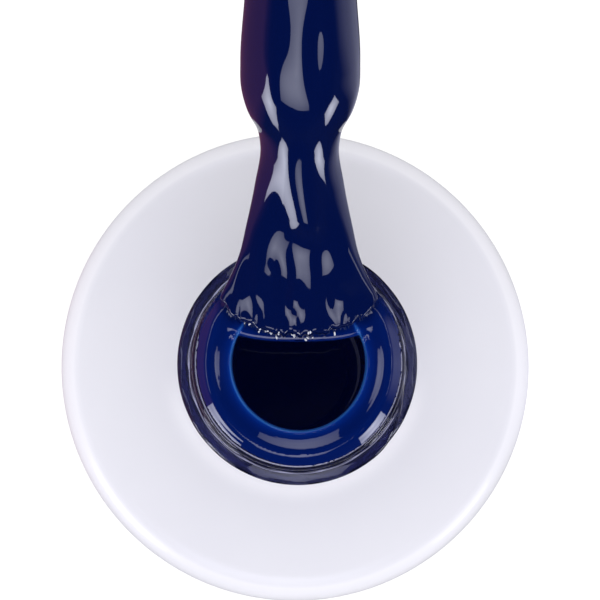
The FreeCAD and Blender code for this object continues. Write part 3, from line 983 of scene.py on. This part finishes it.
def soften(data):
    """A softbox is lavender and glows most at its heart, a little off its middle."""
    data.use_nodes = True
    place = node(data, "ShaderNodeNewGeometry").outputs["Parametric"]
    centred = node(data, "ShaderNodeMapping")
    centred.inputs["Location"].default_value = (-0.65, -0.75, 0)
    centred.inputs["Scale"].default_value = (1.3, 1.3, 1)
    link(data, place, centred.inputs["Vector"])
    fade = node(data, "ShaderNodeTexGradient", gradient_type="SPHERICAL")
    link(data, centred.outputs["Vector"], fade.inputs["Vector"])
    rim_glow, heart_glow = (0.40, 0.41, 0.50), (1.34, 1.37, 1.60)
    shade = ramp(data, fade.outputs["Fac"], [(0.0, rim_glow), (1.0, heart_glow)])
    link(data, shade, data.node_tree.nodes["Emission"].inputs["Color"])


def softbox(name, azimuth, elevation, distance, width, height, radiance, fills=False):
    """An area light at an azimuth (0 is towards -Y, 90 towards +X) that faces the rim.

    Its angles are in degrees and its lengths in metres. One that fills also lights matt surfaces; the
    others are only there for the gloss to mirror.
    """
    a, e = math.radians(azimuth), math.radians(elevation)
    aim = Vector((0, 0, RIM * MM))
    away = Vector((math.sin(a) * math.cos(e), -math.cos(a) * math.cos(e), math.sin(e)))
    data = bpy.data.lights.new(name, "AREA")
    data.shape = "RECTANGLE"
    data.size, data.size_y = width, height
    data.energy = radiance * math.pi * width * height
    soften(data)
    lamp = bpy.data.objects.new(name, data)
    bpy.context.scene.collection.objects.link(lamp)
    lamp.location = aim + away * distance
    lamp.rotation_mode = "QUATERNION"
    lamp.rotation_quaternion = away.to_track_quat("Z", "Y")
    lamp.visible_camera = False
    lamp.visible_diffuse = fills


def overhead_light():
    """Broad light from above that fills the diffuse surfaces and leaves no mark on the glossy ones."""
    brightness = 0.97
    data = bpy.data.lights.new("overhead", "SUN")
    data.angle = math.radians(100)
    data.energy = math.pi * brightness
    lamp = bpy.data.objects.new("overhead", data)
    bpy.context.scene.collection.objects.link(lamp)
    lamp.visible_glossy = False
    lamp.visible_camera = False


def add_world():
    """A white room at the horizon under a dim ceiling."""
    world = bpy.data.worlds.new("studio")
    bpy.context.scene.world = world
    world.use_nodes = True
    background = world.node_tree.nodes["Background"]
    background.inputs["Strength"].default_value = 1.0
    split = node(world, "ShaderNodeSeparateXYZ")
    link(world, node(world, "ShaderNodeTexCoord").outputs["Generated"], split.inputs["Vector"])
    stops = [(0.0, 1.0), (0.12, 1.0), (0.36, 0.03), (1.0, 0.012)]
    shades = [(position, (0.985 * value, 0.985 * value, value)) for position, value in stops]
    link(world, ramp(world, split.outputs["Z"], shades), background.inputs["Color"])


def add_camera():
    """The camera looks almost straight down from high above the rim, with +Y up in its view."""
    data = bpy.data.cameras.new("camera")
    data.sensor_width = 36
    data.lens = 225.7
    camera = bpy.data.objects.new("camera", data)
    bpy.context.scene.collection.objects.link(camera)
    camera.location = Vector((-2.9, -2.9, RIM + CAMERA_HEIGHT)) * MM
    aim = Vector((0.08, 3.38, RIM)) * MM
    back = (camera.location - aim).normalized()
    right = Vector((0, 1, 0)).cross(back).normalized()
    camera.rotation_mode = "QUATERNION"
    camera.rotation_quaternion = Matrix((right, back.cross(right), back)).transposed().to_quaternion()
    data.clip_start, data.clip_end = 0.01, 20
    bpy.context.scene.camera = camera


POLISH = polish_material()
GLASS = glass_material()
LACQUER = lacquer_material()
FILAMENT = filament_material()
# Partly the bare nylon's own pale colour, partly painted glints: pale blobs that stand in for light caught by
# the tips.
NYLON_AND_GLINT = moulded_material("bare_nylon_glint", (0.55, 0.56, 0.66), (0.85, 0.86, 0.92), 0.25, 0.5)
CAP_WHITE = moulded_material("cap_white", (0.68, 0.68, 0.73), (0.71, 0.71, 0.76), 0.16, 0.5)
INNER_WHITE = moulded_material("inner_cap_white", (0.66, 0.66, 0.69), (0.70, 0.70, 0.73), 0.38, 0.0)
STEM_WHITE = moulded_material("stem_white", (0.68, 0.68, 0.72), (0.72, 0.72, 0.76), 0.28, 0.1)
LINER = moulded_material("liner_foam", (0.84, 0.84, 0.82), (0.90, 0.90, 0.88), 0.7, 0.0)
LABEL = moulded_material("label_vinyl", (0.82, 0.82, 0.82), (0.86, 0.86, 0.86), 0.5, 0.0)
STEEL = metal_material("polished_steel", 0.72, 0.14)

add_camera()
add_world()
add_floor()
add_surround()
overhead_light()
softbox("left_front", -50, 2, 0.7, 0.36, 0.26, 4.8)
softbox("right_front", 50, 0, 0.7, 0.26, 0.18, 4.8)
softbox("front", -5, 43, 0.8, 0.56, 0.37, 1.9, fills=True)
softbox("back", 180, 32, 0.9, 0.80, 0.42, 1.3)
softbox("left_strip", -100, 30, 0.9, 0.90, 0.10, 1.3)
softbox("right_strip", 100, 30, 0.9, 0.90, 0.10, 1.3)

make_glass()
make_lacquer()
make_bore_film()
make_wet_polish()
make_bristles()
make_tips_and_glints()

FINISHES = {
    "base_label": LABEL,
    "polish_fill": POLISH,
    "mixing_ball_1": STEEL,
    "mixing_ball_2": STEEL,
    "bristle_staple": STEEL,
    "brush_stem": STEM_WHITE,
    "inner_cap": INNER_WHITE,
    "cap_liner": LINER,
    "outer_cap": CAP_WHITE,
}
for name, material in FINISHES.items():
    give(frame["nodes"][name], material)

bpy.context.scene.view_settings.view_transform = "Standard"
